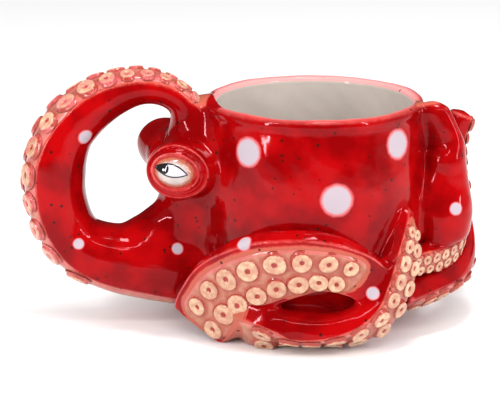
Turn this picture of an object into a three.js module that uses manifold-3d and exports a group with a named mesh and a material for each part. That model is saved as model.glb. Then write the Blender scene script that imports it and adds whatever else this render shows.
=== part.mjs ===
// Octopus mug: a glazed ceramic cup hugged by an octopus. The head and eyes swell out of one side
// of the cup, one arm rises beside them and bends round into the handle, and seven more arms wrap
// the foot of the cup and climb its far end. Each piece of clay is one solid.
// Millimetres, +Z up. The origin is the centre of the foot, on the cup's axis, at table height.
// The handle lies along -X. The near side is -Y and the far side is +Y.

import * as THREE from "three";
import { mergeVertices } from "three/addons/utils/BufferGeometryUtils.js";
import Module from "manifold-3d";

const wasm = await Module();
wasm.setup();

// ---- driving dimensions, mm ----

const CUP_HEIGHT = 93;
const LIP_RADIUS = 45;
const MOUTH_RADIUS = 40;
const BELLY_RADIUS = 48.5;
const FOOT_RADIUS = 34;
const FLOOR_THICKNESS = 7.5;
const CUP_SIDES = 40;

const JOINT_GAP = 0.35; // clearance kept between two neighbouring pieces
const STRIP_THICKNESS = 1.2; // pale skin under the suckers
const SUCKER_HEIGHT = 2;
const SUCKER_ROOT = 0.5; // depth that a sucker is set into its strip
const SUCKER_SIDES = 6;
const ARM_STEP = 10; // spacing of an arm's sections along its length
const TWISTED_STEP = 6; // the same on an arm that turns its belly quickly

const EYE_LONG = 8.6; // half sizes of an eyeball
const EYE_TALL = 6.4;
const EYE_DEEP = 5;
const LID_RADIUS = 11.6;
const EYE_SIDES = 20;

// ---- materials ----

function glaze(colour, roughness) {
  return new THREE.MeshStandardMaterial({ color: colour, roughness, metalness: 0 });
}

const redGlaze = glaze(0xc80a0f, 0.12);
const paleGlaze = glaze(0xe3a583, 0.2);
const eyeGlaze = glaze(0xf2ece2, 0.1);

// ---- solids ----

// A closed geometry as a solid whose faces point outwards.
function solid(geometry) {
  const bare = geometry.index ? geometry.toNonIndexed() : geometry.clone();
  bare.deleteAttribute("normal");
  bare.deleteAttribute("uv");
  const merged = mergeVertices(bare, 1e-4);
  const build = (triVerts) =>
    new wasm.Manifold(
      new wasm.Mesh({
        numProp: 3,
        vertProperties: merged.attributes.position.array,
        triVerts,
      }),
    );
  const faces = new Uint32Array(merged.index.array);
  const made = build(faces);
  return made.volume() > 0 ? made : build(faces.reverse());
}

// The biggest body of a solid, without the slivers that a cut leaves behind.
function mainBody(made) {
  return made.decompose().reduce((a, b) => (b.volume() > a.volume() ? b : a));
}

function cut(made, cutters) {
  return mainBody(cutters.reduce((left, cutter) => left.subtract(cutter), made));
}

const mug = new THREE.Group();

function addPiece(name, made, material) {
  const mesh = made.getMesh();
  const geometry = new THREE.BufferGeometry();
  geometry.setAttribute("position", new THREE.BufferAttribute(mesh.vertProperties, 3));
  geometry.setIndex(new THREE.BufferAttribute(mesh.triVerts, 1));
  geometry.computeVertexNormals();
  const piece = new THREE.Mesh(geometry, material);
  piece.name = name;
  mug.add(piece);
}

// ---- cup ----

// Outer wall, from the foot up to the underside of the lip: radius and height.
const outerWall = [
  [FOOT_RADIUS + 6, 6],
  [BELLY_RADIUS - 2.5, 20],
  [BELLY_RADIUS, 42],
  [BELLY_RADIUS - 0.5, 62],
  [LIP_RADIUS + 1, 80],
  [LIP_RADIUS, 88],
];

// Inner wall, from the mouth down to the floor.
const innerWall = [
  [MOUTH_RADIUS, CUP_HEIGHT - 2],
  [MOUTH_RADIUS + 0.5, 80],
  [MOUTH_RADIUS + 1.5, 60],
  [MOUTH_RADIUS + 1, 40],
  [MOUTH_RADIUS - 2, 18],
  [MOUTH_RADIUS - 9, FLOOR_THICKNESS + 1.5],
];

function smoothOutline(points, divisions) {
  const curve = new THREE.SplineCurve(points.map(([r, z]) => new THREE.Vector2(r, z)));
  return curve.getPoints(divisions);
}

// The lip's round top, from the outside to the inside.
function lipArc() {
  const middle = (LIP_RADIUS + MOUTH_RADIUS) / 2;
  const half = (LIP_RADIUS - MOUTH_RADIUS) / 2;
  const rise = 2;
  return [0, 45, 90, 135].map((degrees) => {
    const a = THREE.MathUtils.degToRad(degrees);
    return new THREE.Vector2(middle + half * Math.cos(a), CUP_HEIGHT - rise + rise * Math.sin(a));
  });
}

function revolve(profile, sides) {
  const geometry = new THREE.LatheGeometry(profile, sides);
  return solid(geometry.rotateX(Math.PI / 2));
}

function cupBody() {
  const profile = [
    new THREE.Vector2(0, 0),
    new THREE.Vector2(FOOT_RADIUS, 0),
    ...smoothOutline(outerWall, 8),
    ...lipArc(),
    ...smoothOutline(innerWall, 7),
    new THREE.Vector2(0, FLOOR_THICKNESS),
  ];
  return revolve(profile, CUP_SIDES);
}

// Everything that the cup and the space above its mouth take up, for cutting the pieces on it.
function cupRoom() {
  const above = CUP_HEIGHT + 40;
  const profile = [
    new THREE.Vector2(0, -10),
    new THREE.Vector2(FOOT_RADIUS + JOINT_GAP, -10),
    new THREE.Vector2(FOOT_RADIUS + JOINT_GAP, 0),
    ...smoothOutline(
      outerWall.map(([r, z]) => [r + JOINT_GAP, z]),
      8,
    ),
    new THREE.Vector2(LIP_RADIUS + JOINT_GAP, CUP_HEIGHT),
    new THREE.Vector2(LIP_RADIUS + JOINT_GAP, above),
    new THREE.Vector2(0, above),
  ];
  return revolve(profile, CUP_SIDES);
}

// ---- head ----

const HEAD_CENTRE = new THREE.Vector3(-42, 0, 60);
const HEAD_RADII = new THREE.Vector3(22, 17, 34);

function ellipsoid(centre, radii, axes, across, down) {
  const geometry = new THREE.SphereGeometry(1, across, down);
  geometry.scale(radii.x, radii.y, radii.z);
  if (axes) geometry.applyMatrix4(axes);
  geometry.translate(centre.x, centre.y, centre.z);
  return solid(geometry);
}

function head(grow) {
  return ellipsoid(HEAD_CENTRE, HEAD_RADII.clone().addScalar(grow), null, 24, 14);
}

// ---- eyes ----

// side is -1 for the near eye and 1 for the far one. X runs along the eye, Y up it, Z out of it.
function eyeAxes(side) {
  const out = new THREE.Vector3(-0.2, side * 0.97, 0.12).normalize();
  const along = new THREE.Vector3(-Math.cos(0.23), 0, Math.sin(0.23));
  along.addScaledVector(out, -along.dot(out)).normalize();
  const up = new THREE.Vector3().crossVectors(out, along);
  return { out, matrix: new THREE.Matrix4().makeBasis(along, up, out) };
}

function eyeCentre(side) {
  return new THREE.Vector3(-58.8, side * 19.5, 69.4);
}

function eyeball(side, grow) {
  const { out, matrix } = eyeAxes(side);
  const centre = eyeCentre(side).addScaledVector(out, 7.4);
  const radii = new THREE.Vector3(EYE_LONG + grow, EYE_TALL + grow, EYE_DEEP + grow);
  return ellipsoid(centre, radii, matrix, EYE_SIDES, 10);
}

// A mound of clay with a fold round the eye and an open front for the eyeball.
function eyelid(side, grow) {
  const fold = [
    [0, -12],
    [LID_RADIUS - 1, -12],
    [LID_RADIUS, -2],
    [LID_RADIUS - 0.6, 4],
    [LID_RADIUS - 1.6, 7.2],
    [LID_RADIUS - 2.2, 7.6],
    [LID_RADIUS - 2.6, 8.8],
    [LID_RADIUS - 3.6, 9.6],
    [LID_RADIUS - 5.4, 9],
    [0, 8.8],
  ];
  const profile = fold.map(([r, n]) => new THREE.Vector2(r && r + grow, n + grow));
  const { matrix } = eyeAxes(side);
  const geometry = new THREE.LatheGeometry(profile, EYE_SIDES);
  geometry.rotateX(Math.PI / 2);
  geometry.scale(1.04, 0.96, 1);
  geometry.applyMatrix4(matrix);
  const centre = eyeCentre(side);
  geometry.translate(centre.x, centre.y, centre.z);
  return solid(geometry);
}

// ---- arms ----

// A station of an arm: its middle, the way its suckers face, its half width and half thickness.
function station(x, y, z, facing, width, depth) {
  return { at: new THREE.Vector3(x, y, z), facing: new THREE.Vector3(...facing), width, depth };
}

// The same on the cup's wall: angle round the axis from +X, distance from it and height. facing is
// given outwards, counter-clockwise and up.
function roundCup(degrees, radius, z, [out, round, up], width, depth) {
  const a = THREE.MathUtils.degToRad(degrees);
  const facing = [
    out * Math.cos(a) - round * Math.sin(a),
    out * Math.sin(a) + round * Math.cos(a),
    up,
  ];
  return station(radius * Math.cos(a), radius * Math.sin(a), z, facing, width, depth);
}

// The handle lies in the plane y = 0, and its suckers face away from the middle of its loop.
function onHandle(x, z, width, depth) {
  return station(x, 0, z, [x + 78, 0, z - 66], width, depth);
}

const handleStations = [
  onHandle(-36, 22, 16, 15),
  onHandle(-50, 22.5, 16, 15),
  onHandle(-68, 25, 16.5, 15),
  onHandle(-85, 27.5, 16, 13),
  onHandle(-98.5, 35.5, 15, 12),
  onHandle(-105.2, 50, 14.5, 12),
  onHandle(-106.2, 66, 14.5, 12.2),
  onHandle(-101, 80.5, 13.5, 11),
  onHandle(-90, 91.5, 12, 9.5),
  onHandle(-76.5, 98, 10, 7.5),
  onHandle(-64.5, 98.5, 9, 6.5),
  onHandle(-55, 93.5, 8.5, 6.5),
  onHandle(-51, 85, 8, 7),
  onHandle(-49, 76, 7.5, 7),
];

const upperStations = [
  station(-47.6, -22.4, 6, [-0.74, -0.52, -0.43], 13.5, 7.5),
  station(-46, -25.8, 11, [-0.74, -0.54, -0.4], 15, 7.6),
  roundCup(-146.5, 52.3, 17, [0.95, 0, -0.33], 15.6, 7.6),
  roundCup(-140, 52, 23, [0.95, 0, -0.31], 16, 7.5),
  roundCup(-131, 52, 29.5, [0.95, 0, -0.3], 16, 7.3),
  roundCup(-120, 52, 34.6, [0.96, 0, -0.28], 15.8, 7),
  roundCup(-106, 52, 37.8, [0.96, 0, -0.28], 14.6, 6.7),
  roundCup(-95.5, 52, 38, [0.96, 0, -0.28], 13, 6.4),
  roundCup(-86, 52, 35.6, [0.96, 0, -0.28], 11.6, 6.1),
  roundCup(-78, 51.5, 31.4, [0.97, 0, -0.2], 10, 5.7),
  roundCup(-68, 50.5, 24, [0.97, 0, -0.2], 7.5, 5),
];

const lowerStations = [
  roundCup(-150, 44, 11.2, [0.7, 0, -0.7], 8, 6.5),
  roundCup(-138, 46.5, 10.6, [0.62, 0, -0.78], 9.5, 7),
  roundCup(-127, 47.3, 10, [0.5, 0, -0.87], 10, 7),
  roundCup(-116, 47, 9.7, [0.35, 0, -0.93], 10, 6.8),
  roundCup(-104, 47.3, 9.5, [0.32, 0, -0.95], 10, 6.6),
  roundCup(-89, 49.6, 9.8, [0.45, 0, -0.9], 10, 6.8),
  roundCup(-77, 51.5, 12.6, [0.72, 0.05, -0.68], 9.5, 6.8),
  roundCup(-68.5, 52.5, 18.5, [0.88, 0.1, -0.45], 9, 6.6),
  roundCup(-62.5, 52.5, 27, [0.96, 0.12, -0.2], 8.6, 6.2),
  roundCup(-58, 52, 37, [0.98, 0.14, 0], 7.6, 5.6),
  roundCup(-54.5, 51.3, 46, [0.98, 0.16, 0], 5.2, 4.5),
  roundCup(-52, 50.4, 52, [0.98, 0.16, 0], 2.8, 2.8),
  roundCup(-51, 50, 55, [0.98, 0.16, 0], 1.2, 1.4),
];

const nearEndStations = [
  station(30, -37, 29.5, [0.45, -0.4, -0.8], 6, 6),
  station(39.5, -32.5, 30, [0.5, -0.38, -0.78], 6.8, 6.5),
  station(47.5, -27, 32.5, [0.62, -0.15, -0.77], 8.2, 7.6),
  station(51.6, -23, 39.5, [0.72, 0.3, -0.62], 10.2, 9.3),
  station(51.8, -22, 49, [0.62, 0.68, -0.3], 11.8, 10),
  station(51.8, -21.6, 59, [0.52, 0.83, -0.1], 10.8, 8.8),
  station(51.4, -21.2, 70, [0.5, 0.85, 0], 9.2, 7.4),
  station(49, -20.4, 80, [0.5, 0.85, 0], 8, 5.2),
  station(45.8, -19.4, 89, [0.5, 0.85, 0], 5.8, 4.4),
  station(44.4, -19, 93, [0.5, 0.85, 0], 4, 3.8),
];

const endStations = [
  station(27, -36.5, 16, [0.25, -0.4, -0.88], 6.8, 6),
  station(38, -30.5, 17.5, [0.3, -0.42, -0.85], 7.8, 6.4),
  station(47.5, -24, 18.8, [0.4, -0.42, -0.81], 8, 6.6),
  station(54.5, -18, 20.8, [0.55, -0.25, -0.8], 8, 6.6),
  station(60.2, -11, 24.5, [0.65, 0.15, -0.74], 7.8, 6.4),
  station(63.4, -4, 30.5, [0.6, 0.55, -0.58], 7.4, 6),
  station(63.8, 2, 38, [0.55, 0.8, -0.2], 6.8, 5.6),
  station(62, 5.6, 46, [0.55, 0.82, 0.05], 6, 5),
  station(58.6, 8, 54, [0.6, 0.78, 0.1], 4.8, 4.2),
  station(55.3, 9, 62, [0.6, 0.78, 0.1], 3.2, 3.2),
  station(53.3, 9.4, 67, [0.6, 0.78, 0.1], 1.6, 1.6),
];

const farEndStations = [
  station(38, 33, 12, [0.4, 0.5, -0.78], 8, 6.4),
  station(49, 28, 14, [0.6, 0.45, -0.68], 8.8, 6.8),
  station(59, 22.5, 21, [0.75, 0.4, -0.52], 9, 7),
  station(63.5, 19, 32, [0.85, 0.45, -0.2], 8.6, 6.8),
  station(63.6, 17, 44, [0.88, 0.45, 0.05], 7.8, 6.4),
  station(61.8, 15, 55, [0.9, 0.4, 0.05], 7, 5.9),
  station(61, 13.6, 65, [0.94, 0.3, -0.1], 6.8, 5.3),
  station(62.4, 12.6, 73, [0.96, 0.12, -0.22], 6.8, 5.1),
  station(64.6, 12, 79, [0.95, 0.05, -0.28], 6.2, 5),
  station(65.8, 12, 82.4, [0.95, 0.05, -0.28], 5.2, 4.4),
];

function mirrored(stations) {
  return stations.map(({ at, facing, width, depth }) =>
    station(at.x, -at.y, at.z, [facing.x, -facing.y, facing.z], width, depth),
  );
}

// Half of a flat-bellied oval: across the arm, and out of its belly, as parts of its half sizes.
const BELLY = 0.8;
const armSection = [
  [1, 0.25],
  [0.88, BELLY],
  [-0.88, BELLY],
  [-1, 0.25],
  [-0.93, -0.35],
  [-0.7, -0.75],
  [-0.35, -0.95],
  [0, -1],
  [0.35, -0.95],
  [0.7, -0.75],
  [0.93, -0.35],
];

// The place, directions and half sizes of an arm at a part of its length.
function armFrame(arm, part) {
  const t = arm.curve.getUtoTmapping(part);
  const middle = arm.curve.getPoint(t);
  const along = arm.curve.getTangent(t);
  const place = Math.min(t * (arm.stations.length - 1), arm.stations.length - 1.001);
  const first = arm.stations[Math.floor(place)];
  const second = arm.stations[Math.floor(place) + 1];
  const mix = place - Math.floor(place);
  const out = first.facing.clone().normalize().lerp(second.facing.clone().normalize(), mix);
  out.addScaledVector(along, -out.dot(along)).normalize();
  return {
    middle,
    along,
    out,
    across: new THREE.Vector3().crossVectors(out, along),
    width: THREE.MathUtils.lerp(first.width, second.width, mix),
    depth: THREE.MathUtils.lerp(first.depth, second.depth, mix),
  };
}

function pointOf(frame, across, out) {
  return frame.middle
    .clone()
    .addScaledVector(frame.across, across)
    .addScaledVector(frame.out, out);
}

// A closed skin over rings of points, with each end closed by a fan. Faces on the turned side are
// split along their other diagonal, so that a twisted strip stays parallel to the face under it.
function loft(rings, turned = -1) {
  const sides = rings[0].length;
  const corners = [];
  const add = (...points) => points.forEach((p) => corners.push(p.x, p.y, p.z));
  const middleOf = (ring) =>
    ring.reduce((sum, p) => sum.add(p), new THREE.Vector3()).divideScalar(sides);
  const start = middleOf(rings[0]);
  const end = middleOf(rings.at(-1));
  for (let side = 0; side < sides; side++) {
    const next = (side + 1) % sides;
    for (let i = 0; i + 1 < rings.length; i++) {
      const [a, b, c, d] = [rings[i][side], rings[i][next], rings[i + 1][next], rings[i + 1][side]];
      if (side === turned) add(a, b, d, b, c, d);
      else add(a, b, c, a, c, d);
    }
    add(start, rings[0][next], rings[0][side]);
    add(end, rings.at(-1)[side], rings.at(-1)[next]);
  }
  const geometry = new THREE.BufferGeometry();
  geometry.setAttribute("position", new THREE.Float32BufferAttribute(corners, 3));
  return solid(geometry);
}

// A skin along an arm. Every skin of one arm has its sections at the same places.
function sweepArm(arm, section, { start = 0, end = 1, turned } = {}) {
  const steps = Math.round(arm.length / arm.step);
  const rings = [];
  for (let i = Math.round(start * steps); i <= Math.round(end * steps); i++)
    rings.push(section(armFrame(arm, i / steps)));
  return loft(rings, turned);
}

function fleshOf(arm) {
  return sweepArm(arm, (frame) =>
    armSection.map(([a, o]) => pointOf(frame, a * frame.width, o * frame.depth)),
  );
}

// The room that an arm and its suckers take up, with clearance all round.
function roomOf(arm) {
  const clearance = 2 * JOINT_GAP;
  const reach = JOINT_GAP + STRIP_THICKNESS + SUCKER_HEIGHT + clearance;
  return sweepArm(arm, (frame) =>
    armSection.map(([a, o]) => {
      const grow = o === BELLY ? reach : Math.min(Math.sign(o), 0) * clearance;
      return pointOf(frame, a * (frame.width + clearance), o * frame.depth + grow);
    }),
  );
}

// One sucker: a low dished disc, standing on the belly.
function suckerOn(frame, across, radius, grow) {
  const profile = [
    [0, -SUCKER_ROOT],
    [radius + grow, -SUCKER_ROOT],
    [radius * 0.86 + grow, SUCKER_HEIGHT + grow],
    [0, SUCKER_HEIGHT * 0.3 + grow],
  ].map(([r, h]) => new THREE.Vector2(r, h));
  const geometry = new THREE.LatheGeometry(profile, SUCKER_SIDES);
  geometry.applyMatrix4(new THREE.Matrix4().makeBasis(frame.across, frame.out, frame.along));
  const top = frame.depth * BELLY + JOINT_GAP + STRIP_THICKNESS;
  const foot = pointOf(frame, across, top);
  geometry.translate(foot.x, foot.y, foot.z);
  return solid(geometry);
}

// The pale belly of an arm with its two rows of suckers.
function bellyOf(arm, grow = 0) {
  const strip = sweepArm(
    arm,
    (frame) => {
      const half = frame.width * arm.bellyWidth;
      const middle = frame.width * arm.bellyShift;
      const low = frame.depth * BELLY + JOINT_GAP;
      const high = low + STRIP_THICKNESS;
      return [
        pointOf(frame, middle + half, low),
        pointOf(frame, middle + half, high),
        pointOf(frame, middle - half, high),
        pointOf(frame, middle - half, low),
      ];
    },
    { start: arm.bellyStart, end: arm.bellyEnd, turned: 3 },
  );
  const suckers = [];
  let part = arm.bellyStart;
  while (true) {
    const radius = armFrame(arm, part).width * arm.suckerSize;
    const pitch = (2.2 * radius) / arm.length;
    if (part + 1.2 * pitch > arm.bellyEnd || radius < 1) break;
    for (const row of [-1, 1]) {
      const frame = armFrame(arm, part + pitch * (0.6 + 0.5 * arm.stagger * (row > 0)));
      const across = frame.width * (arm.bellyShift + row * arm.rowOffset);
      suckers.push(suckerOn(frame, across, radius, grow));
    }
    part += pitch;
  }
  return suckers.reduce((all, one) => all.add(one), strip);
}

function arm(name, stations, settings) {
  const curve = new THREE.CatmullRomCurve3(
    stations.map((s) => s.at),
    false,
    "centripetal",
  );
  curve.arcLengthDivisions = 400;
  return {
    name,
    stations,
    curve,
    length: curve.getLength(),
    step: ARM_STEP,
    bellyStart: 0.05,
    bellyEnd: 0.96,
    bellyWidth: 0.84, // parts of the arm's half width
    bellyShift: 0,
    suckerSize: 0.36,
    rowOffset: 0.43,
    stagger: 1,
    ...settings,
  };
}

// The upper arms carry their belly low, under a red shoulder.
const upperBelly = {
  bellyStart: 0.05,
  bellyWidth: 0.79,
  bellyShift: -0.1,
  suckerSize: 0.3,
  rowOffset: 0.38,
};

// In this order an arm lies over those after it, and they are cut to fit round it.
const arms = [
  arm("handle_arm", handleStations, { bellyStart: 0.22, bellyEnd: 0.94, suckerSize: 0.31 }),
  arm("near_lower_arm", lowerStations, { suckerSize: 0.43, rowOffset: 0.44, stagger: 0.3 }),
  arm("near_upper_arm", upperStations, upperBelly),
  arm("near_end_arm", nearEndStations, { step: TWISTED_STEP, bellyEnd: 0.9, suckerSize: 0.42 }),
  arm("end_arm", endStations, { step: TWISTED_STEP, suckerSize: 0.42 }),
  arm("far_lower_arm", mirrored(lowerStations), { suckerSize: 0.43, rowOffset: 0.44, stagger: 0.3 }),
  arm("far_upper_arm", mirrored(upperStations), {
    ...upperBelly,
    bellyShift: -upperBelly.bellyShift,
  }),
  arm("far_end_arm", farEndStations, { step: TWISTED_STEP, suckerSize: 0.42 }),
];

// ---- assembly ----

// Nothing but the foot touches the table.
function tableRoom() {
  const depth = 40;
  const geometry = new THREE.BoxGeometry(300, 300, depth);
  return solid(geometry.translate(0, 0, JOINT_GAP - depth / 2));
}

addPiece("cup_body", cupBody(), redGlaze);

const rooms = [cupRoom(), tableRoom()];
addPiece("head", cut(head(0), rooms), redGlaze);
rooms.push(head(JOINT_GAP));

for (const [name, side] of [
  ["near", -1],
  ["far", 1],
]) {
  const ball = eyeball(side, 0);
  addPiece(name + "_eyeball", cut(ball, rooms), eyeGlaze);
  addPiece(name + "_eyelid", cut(eyelid(side, 0), [...rooms, eyeball(side, JOINT_GAP)]), redGlaze);
}
rooms.push(eyelid(-1, JOINT_GAP), eyelid(1, JOINT_GAP), eyeball(-1, JOINT_GAP), eyeball(1, JOINT_GAP));

for (const one of arms) {
  addPiece(one.name, cut(fleshOf(one), rooms), redGlaze);
  addPiece(one.name + "_suckers", cut(bellyOf(one), rooms), paleGlaze);
  rooms.push(roomOf(one), bellyOf(one, JOINT_GAP));
}

export default mug;
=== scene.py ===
# Looks of the octopus mug: a cup hugged by an octopus, in red, peach and white glaze.
# The clay is modelled as distance fields that flow into each other, in millimetres, and each piece
# is the part of that form that stands for one CAD node. Suckers, bellies and eyes are direct meshes.

import math

import bpy
import numpy as np
import openvdb
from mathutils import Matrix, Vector


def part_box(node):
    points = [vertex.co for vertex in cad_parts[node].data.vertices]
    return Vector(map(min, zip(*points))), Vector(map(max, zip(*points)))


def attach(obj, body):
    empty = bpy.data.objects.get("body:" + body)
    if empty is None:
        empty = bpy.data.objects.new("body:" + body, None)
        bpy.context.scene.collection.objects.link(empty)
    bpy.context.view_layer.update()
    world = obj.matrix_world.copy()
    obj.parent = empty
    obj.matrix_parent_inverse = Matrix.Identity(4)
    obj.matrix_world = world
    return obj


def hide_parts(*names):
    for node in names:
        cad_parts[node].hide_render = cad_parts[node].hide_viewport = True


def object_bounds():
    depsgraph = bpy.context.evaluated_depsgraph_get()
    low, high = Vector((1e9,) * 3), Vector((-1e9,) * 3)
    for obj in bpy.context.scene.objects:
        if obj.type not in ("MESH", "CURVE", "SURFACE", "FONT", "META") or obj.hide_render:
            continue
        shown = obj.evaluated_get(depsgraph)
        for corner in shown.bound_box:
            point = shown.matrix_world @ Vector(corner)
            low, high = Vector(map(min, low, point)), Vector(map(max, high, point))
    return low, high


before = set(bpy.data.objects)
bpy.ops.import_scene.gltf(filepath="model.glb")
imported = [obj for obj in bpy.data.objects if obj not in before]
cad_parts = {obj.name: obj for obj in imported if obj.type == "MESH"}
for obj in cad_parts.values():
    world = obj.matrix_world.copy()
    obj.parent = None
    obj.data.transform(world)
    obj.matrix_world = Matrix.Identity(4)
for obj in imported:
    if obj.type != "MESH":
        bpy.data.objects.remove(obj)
cad_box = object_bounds()

MM = 0.001
RNG = np.random.default_rng(seed=7)


# ---- sizes from the frame, mm ----

CUP_CORNER = np.array(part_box("cup_body")[1]) / MM
CUP_HEIGHT = CUP_CORNER[2]
BELLY_RADIUS = CUP_CORNER[0]
LIP_RADIUS = BELLY_RADIUS - 3.5
LIP_EDGE = LIP_RADIUS + 0.2
LIP_START = CUP_HEIGHT - 3
MOUTH_RADIUS = LIP_RADIUS - 5
FOOT_RADIUS = LIP_RADIUS - 11
FLOOR_THICKNESS = 7.5


# ---- camera ----

CAMERA_AZIMUTH = math.radians(-8)
CAMERA_ELEVATION = math.radians(15.9)
CAMERA_DISTANCE = 0.75
CAMERA_TARGET = Vector((-0.0277, -0.0088, 0.0489))
CAMERA_LENS = 131.8


def make_camera():
    level = math.cos(CAMERA_ELEVATION)
    x, y = math.sin(CAMERA_AZIMUTH) * level, -math.cos(CAMERA_AZIMUTH) * level
    back = Vector((x, y, math.sin(CAMERA_ELEVATION)))
    data = bpy.data.cameras.new("camera")
    data.lens = CAMERA_LENS
    data.sensor_width = 36
    camera = bpy.data.objects.new("camera", data)
    camera.location = CAMERA_TARGET + CAMERA_DISTANCE * back
    camera.rotation_euler = back.to_track_quat("Z", "Y").to_euler()
    bpy.context.collection.objects.link(camera)
    bpy.context.scene.camera = camera


# ---- the lattice that the clay is modelled on ----

VOXEL = 0.5
MARGIN = 7.0
SPACE_LOW = np.floor((np.array(cad_box[0]) / MM - MARGIN) / VOXEL).astype(int)
SPACE_HIGH = np.ceil((np.array(cad_box[1]) / MM + MARGIN) / VOXEL).astype(int)
GRID_TRANSFORM = openvdb.createLinearTransform(VOXEL)


def region(low, high):
    """The slices of the lattice that hold a box, and the box's first lattice index."""
    first = np.maximum(np.floor(np.array(low) / VOXEL).astype(int), SPACE_LOW)
    last = np.minimum(np.ceil(np.array(high) / VOXEL).astype(int), SPACE_HIGH)
    where = tuple(slice(a, b) for a, b in zip(first - SPACE_LOW, last - SPACE_LOW + 1))
    return where, first, last - first + 1


def axes_of(first, shape):
    """Open x, y and z coordinates of a region, mm."""
    steps = [(first[i] + np.arange(shape[i], dtype=np.float32)) * VOXEL for i in range(3)]
    return np.ix_(*steps)


def smooth_min(a, b, k):
    """The lower of two fields, with a fillet of about k between them."""
    h = np.maximum(k - np.abs(a - b), 0) / k
    return np.minimum(a, b) - h * h * h * (k / 6)


def waviness(x, y, z):
    """The uneven surface of cast and hand-finished clay, mm."""
    return (
        0.26 * np.sin(x * 0.17 + 1.3 * np.sin(z * 0.08)) * np.sin(y * 0.15 + 0.4)
        + 0.18 * np.sin(z * 0.16 + 0.11 * x + 2.0) * np.cos(y * 0.13 - 0.07 * x)
        + 0.06 * np.sin(x * 0.47 + z * 0.31) * np.sin(y * 0.43 - z * 0.27)
    )


# ---- cup ----


def catmull_rom(points, per_span):
    """A smooth polyline through points."""
    p = np.array(points, float)
    p = np.vstack([2 * p[0] - p[1], p, 2 * p[-1] - p[-2]])
    t = np.arange(per_span)[:, None] / per_span
    spans = []
    for a, b, c, d in zip(p, p[1:], p[2:], p[3:]):
        square = 2 * a - 5 * b + 4 * c - d
        cube = 3 * b - a - 3 * c + d
        spans.append(b + t / 2 * (c - a + t * (square + t * cube)))
    return np.vstack([*spans, p[-2]])


def outer_wall():
    foot = [(FOOT_RADIUS + 1, 0.6), (FOOT_RADIUS + 6, 6), (BELLY_RADIUS - 2.5, 20)]
    belly = [(BELLY_RADIUS, 42), (BELLY_RADIUS - 0.5, 62)]
    lip = [(LIP_RADIUS + 1, 80), (LIP_RADIUS, 87), (LIP_EDGE, LIP_START)]
    return catmull_rom(foot + belly + lip, 14)


def lip_arc():
    """The round top of the wall, from its outer side to its inner one."""
    middle = (LIP_RADIUS + MOUTH_RADIUS) / 2
    half = (LIP_EDGE - MOUTH_RADIUS) / 2
    rise = 2.6
    angles = np.radians(np.arange(8, 180, 8))
    return np.column_stack(
        [middle + half * np.cos(angles), CUP_HEIGHT - rise + rise * np.sin(angles) ** 0.8]
    )


def inner_wall():
    lip = [(MOUTH_RADIUS, LIP_START), (MOUTH_RADIUS + 0.5, 80)]
    belly = [(MOUTH_RADIUS + 1.5, 60), (MOUTH_RADIUS + 1, 40), (MOUTH_RADIUS - 2, 18)]
    corner = [(MOUTH_RADIUS - 9, FLOOR_THICKNESS + 1.5), (MOUTH_RADIUS - 20, FLOOR_THICKNESS)]
    return catmull_rom(lip + belly + corner + [(0, FLOOR_THICKNESS)], 12)


def lathe_field(outline, r, h):
    """Distance to the closed body that an outline of (radius, height) sweeps round its axis."""
    pitch, above, widest = 0.5, 24, 150
    low = outline[:, 1].min() - above
    heights = np.arange(low, outline[:, 1].max() + above, pitch)
    rr, hh = np.meshgrid(np.arange(0, widest, pitch), heights, indexing="ij")
    best = np.full(rr.shape, np.inf)
    inside = np.zeros(rr.shape, bool)
    for (r0, h0), (r1, h1) in zip(outline[:-1], outline[1:]):
        dr, dh = r1 - r0, h1 - h0
        t = np.clip(((rr - r0) * dr + (hh - h0) * dh) / (dr * dr + dh * dh + 1e-9), 0, 1)
        best = np.minimum(best, (rr - r0 - t * dr) ** 2 + (hh - h0 - t * dh) ** 2)
        if h0 != h1:
            level = (hh >= min(h0, h1)) & (hh < max(h0, h1))
            inside ^= level & (rr < r0 + (hh - h0) * dr / (dh or 1))
    table = (np.where(inside, -1, 1) * np.sqrt(best)).astype(np.float32)
    r, h = np.broadcast_arrays(r, h)
    column = np.clip(r / pitch, 0, table.shape[0] - 1.01)
    row = np.clip((h - low) / pitch, 0, table.shape[1] - 1.01)
    i, j = column.astype(np.int32), row.astype(np.int32)
    u, v = (column - i).astype(np.float32), (row - j).astype(np.float32)
    near = table[i, j] * (1 - v) + table[i, j + 1] * v
    far = table[i + 1, j] * (1 - v) + table[i + 1, j + 1] * v
    return near * (1 - u) + far * u


# ---- arms ----
# A station of an arm is x, y and z of its middle, the direction that its suckers face, its half
# width and its half thickness, mm.


def on_cup(degrees, radius, z, facing, width, depth):
    """A station on the cup's wall: facing is outwards, counter-clockwise and up."""
    a = math.radians(degrees)
    out, around, up = facing
    c, s = math.cos(a), math.sin(a)
    return (radius * c, radius * s, z, out * c - around * s, out * s + around * c, up, width, depth)


LOOP_X, LOOP_Z = -78, 66


def on_handle(x, z, width, depth):
    """A station in the plane of the handle, whose suckers face away from its loop."""
    return (x, 0, z, x - LOOP_X, 0, z - LOOP_Z, width, depth)


HANDLE_STATIONS = [
    (-36, 20, 16, 17), (-50, 20.8, 16, 17), (-68, 24, 16.5, 17.3), (-85, 27.6, 16, 14.8),
    (-99, 35.2, 15, 13), (-106.4, 50, 14.5, 13.2), (-107.4, 66.2, 14.5, 13.4),
    (-102.2, 81.4, 13.5, 12.2), (-90.8, 92.6, 12, 10.6), (-76.8, 98.8, 10, 8.4),
    (-64.5, 98.8, 9, 6.8), (-55, 93.5, 8.5, 6.5), (-51, 85, 8, 7), (-49, 76, 7.5, 7),
]
HANDLE = [on_handle(*station) for station in HANDLE_STATIONS]

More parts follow.
